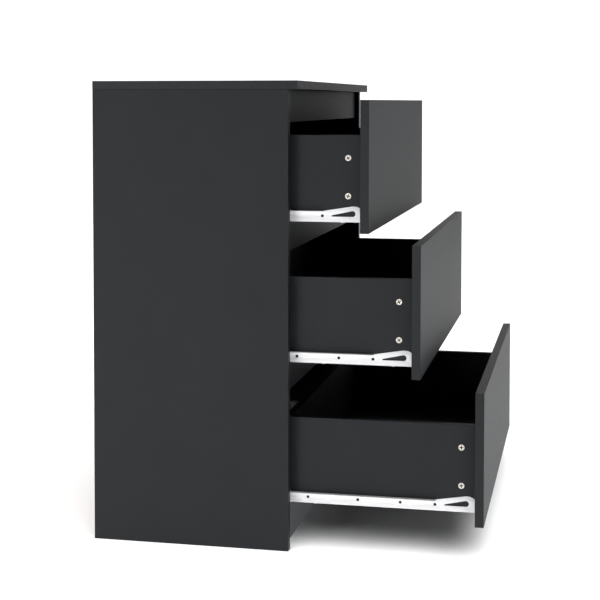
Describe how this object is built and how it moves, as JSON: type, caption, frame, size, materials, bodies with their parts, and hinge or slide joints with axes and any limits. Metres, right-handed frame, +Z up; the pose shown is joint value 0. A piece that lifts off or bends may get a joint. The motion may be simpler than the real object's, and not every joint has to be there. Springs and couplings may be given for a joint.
{
  "type": "bedside chest of drawers",
  "caption": "Wide low chest whose flush board fronts cover the carcass edges, with finger gaps in place of handles; the drawers run out on roller runners and stand staggered open.",
  "frame": {"origin": "on the floor, under the centre of the bounding box with the drawers open as stored", "axes": "+X to the right seen from the front, +Y to the rear, +Z up; the drawers open along -Y"},
  "size_m": [0.8, 0.7244, 0.856],
  "materials": {
    "anthracite_board": "matt anthracite melamine facing on chipboard",
    "hardboard": "thin fibreboard, lacquered dark grey on its good side",
    "white_steel": "white epoxy-coated sheet steel",
    "roller_plastic": "white moulded nylon",
    "zinc": "die-cast zinc, dull silver",
    "plated_steel": "zinc-plated steel",
    "beech": "bare beech dowel"
  },
  "bodies": {
    "carcass": {"top_panel": "anthracite_board", "side_panel_left": "anthracite_board", "side_panel_right": "anthracite_board", "back_panel": "hardboard", "upper_front_rail": "anthracite_board", "middle_front_rail_1": "anthracite_board", "middle_front_rail_2": "anthracite_board", "plinth_board": "anthracite_board", "rear_rail": "anthracite_board", "upper_channel_left": "white_steel", "upper_channel_right": "white_steel", "middle_channel_left": "white_steel", "middle_channel_right": "white_steel", "lower_channel_left": "white_steel", "lower_channel_right": "white_steel", "carcass_dowels": "beech", "carcass_cams": "zinc", "carcass_cam_bolts": "plated_steel", "channel_screws": "plated_steel", "back_panel_nails": "plated_steel"},
    "upper_drawer": {"upper_drawer_front": "anthracite_board", "upper_drawer_side_left": "anthracite_board", "upper_drawer_side_right": "anthracite_board", "upper_drawer_back": "anthracite_board", "upper_drawer_bottom": "hardboard", "upper_drawer_runner_left": "white_steel", "upper_drawer_runner_right": "white_steel", "upper_drawer_cams": "zinc", "upper_drawer_cam_bolts": "plated_steel", "upper_drawer_runner_screws": "plated_steel", "upper_drawer_back_screws": "plated_steel"},
    "upper_front_rollers": {"upper_front_rollers": "roller_plastic"},
    "upper_rear_rollers": {"upper_drawer_rear_rollers": "roller_plastic"},
    "middle_drawer": {"middle_drawer_front": "anthracite_board", "middle_drawer_side_left": "anthracite_board", "middle_drawer_side_right": "anthracite_board", "middle_drawer_back": "anthracite_board", "middle_drawer_bottom": "hardboard", "middle_drawer_runner_left": "white_steel", "middle_drawer_runner_right": "white_steel", "middle_drawer_cams": "zinc", "middle_drawer_cam_bolts": "plated_steel", "middle_drawer_runner_screws": "plated_steel", "middle_drawer_back_screws": "plated_steel"},
    "middle_front_rollers": {"middle_front_rollers": "roller_plastic"},
    "middle_rear_rollers": {"middle_drawer_rear_rollers": "roller_plastic"},
    "lower_drawer": {"lower_drawer_front": "anthracite_board", "lower_drawer_side_left": "anthracite_board", "lower_drawer_side_right": "anthracite_board", "lower_drawer_back": "anthracite_board", "lower_drawer_bottom": "hardboard", "lower_drawer_runner_left": "white_steel", "lower_drawer_runner_right": "white_steel", "lower_drawer_cams": "zinc", "lower_drawer_cam_bolts": "plated_steel", "lower_drawer_runner_screws": "plated_steel", "lower_drawer_back_screws": "plated_steel"},
    "lower_front_rollers": {"lower_front_rollers": "roller_plastic"},
    "lower_rear_rollers": {"lower_drawer_rear_rollers": "roller_plastic"}
  },
  "joints": [
    {"name": "upper_drawer_slide", "type": "slide", "parent": "carcass", "child": "upper_drawer", "axis": [0, -1, 0], "range_m": [-0.1297, 0.2061]},
    {"name": "upper_front_rollers_spin", "type": "hinge", "parent": "carcass", "child": "upper_front_rollers", "pos_m": [0, 0.00065, 0.6107], "axis": [1, 0, 0], "range_deg": [-953, 1514]},
    {"name": "upper_rear_rollers_spin", "type": "hinge", "parent": "upper_drawer", "child": "upper_rear_rollers", "pos_m": [0, 0.21695, 0.6117], "axis": [1, 0, 0], "range_deg": [-845, 1342]},
    {"name": "middle_drawer_slide", "type": "slide", "parent": "carcass", "child": "middle_drawer", "axis": [0, -1, 0], "range_m": [-0.2229, 0.1129]},
    {"name": "middle_front_rollers_spin", "type": "hinge", "parent": "carcass", "child": "middle_front_rollers", "pos_m": [0, 0.00065, 0.3527], "axis": [1, 0, 0], "range_deg": [-1638, 830]},
    {"name": "middle_rear_rollers_spin", "type": "hinge", "parent": "middle_drawer", "child": "middle_rear_rollers", "pos_m": [0, 0.12375, 0.3537], "axis": [1, 0, 0], "range_deg": [-1452, 736]},
    {"name": "lower_drawer_slide", "type": "slide", "parent": "carcass", "child": "lower_drawer", "axis": [0, -1, 0], "range_m": [-0.3358, 0]},
    {"name": "lower_front_rollers_spin", "type": "hinge", "parent": "carcass", "child": "lower_front_rollers", "pos_m": [0, 0.00065, 0.0947], "axis": [1, 0, 0], "range_deg": [-2467, 0]},
    {"name": "lower_rear_rollers_spin", "type": "hinge", "parent": "lower_drawer", "child": "lower_rear_rollers", "pos_m": [0, 0.01085, 0.0957], "axis": [1, 0, 0], "range_deg": [-2187, 0]}
  ],
  "couplings": [
    {"joint": "upper_front_rollers_spin", "follows": "upper_drawer_slide", "rad_per_m": 128.21},
    {"joint": "upper_rear_rollers_spin", "follows": "upper_drawer_slide", "rad_per_m": 113.64},
    {"joint": "middle_front_rollers_spin", "follows": "middle_drawer_slide", "rad_per_m": 128.21},
    {"joint": "middle_rear_rollers_spin", "follows": "middle_drawer_slide", "rad_per_m": 113.64},
    {"joint": "lower_front_rollers_spin", "follows": "lower_drawer_slide", "rad_per_m": 128.21},
    {"joint": "lower_rear_rollers_spin", "follows": "lower_drawer_slide", "rad_per_m": 113.64}
  ]
}
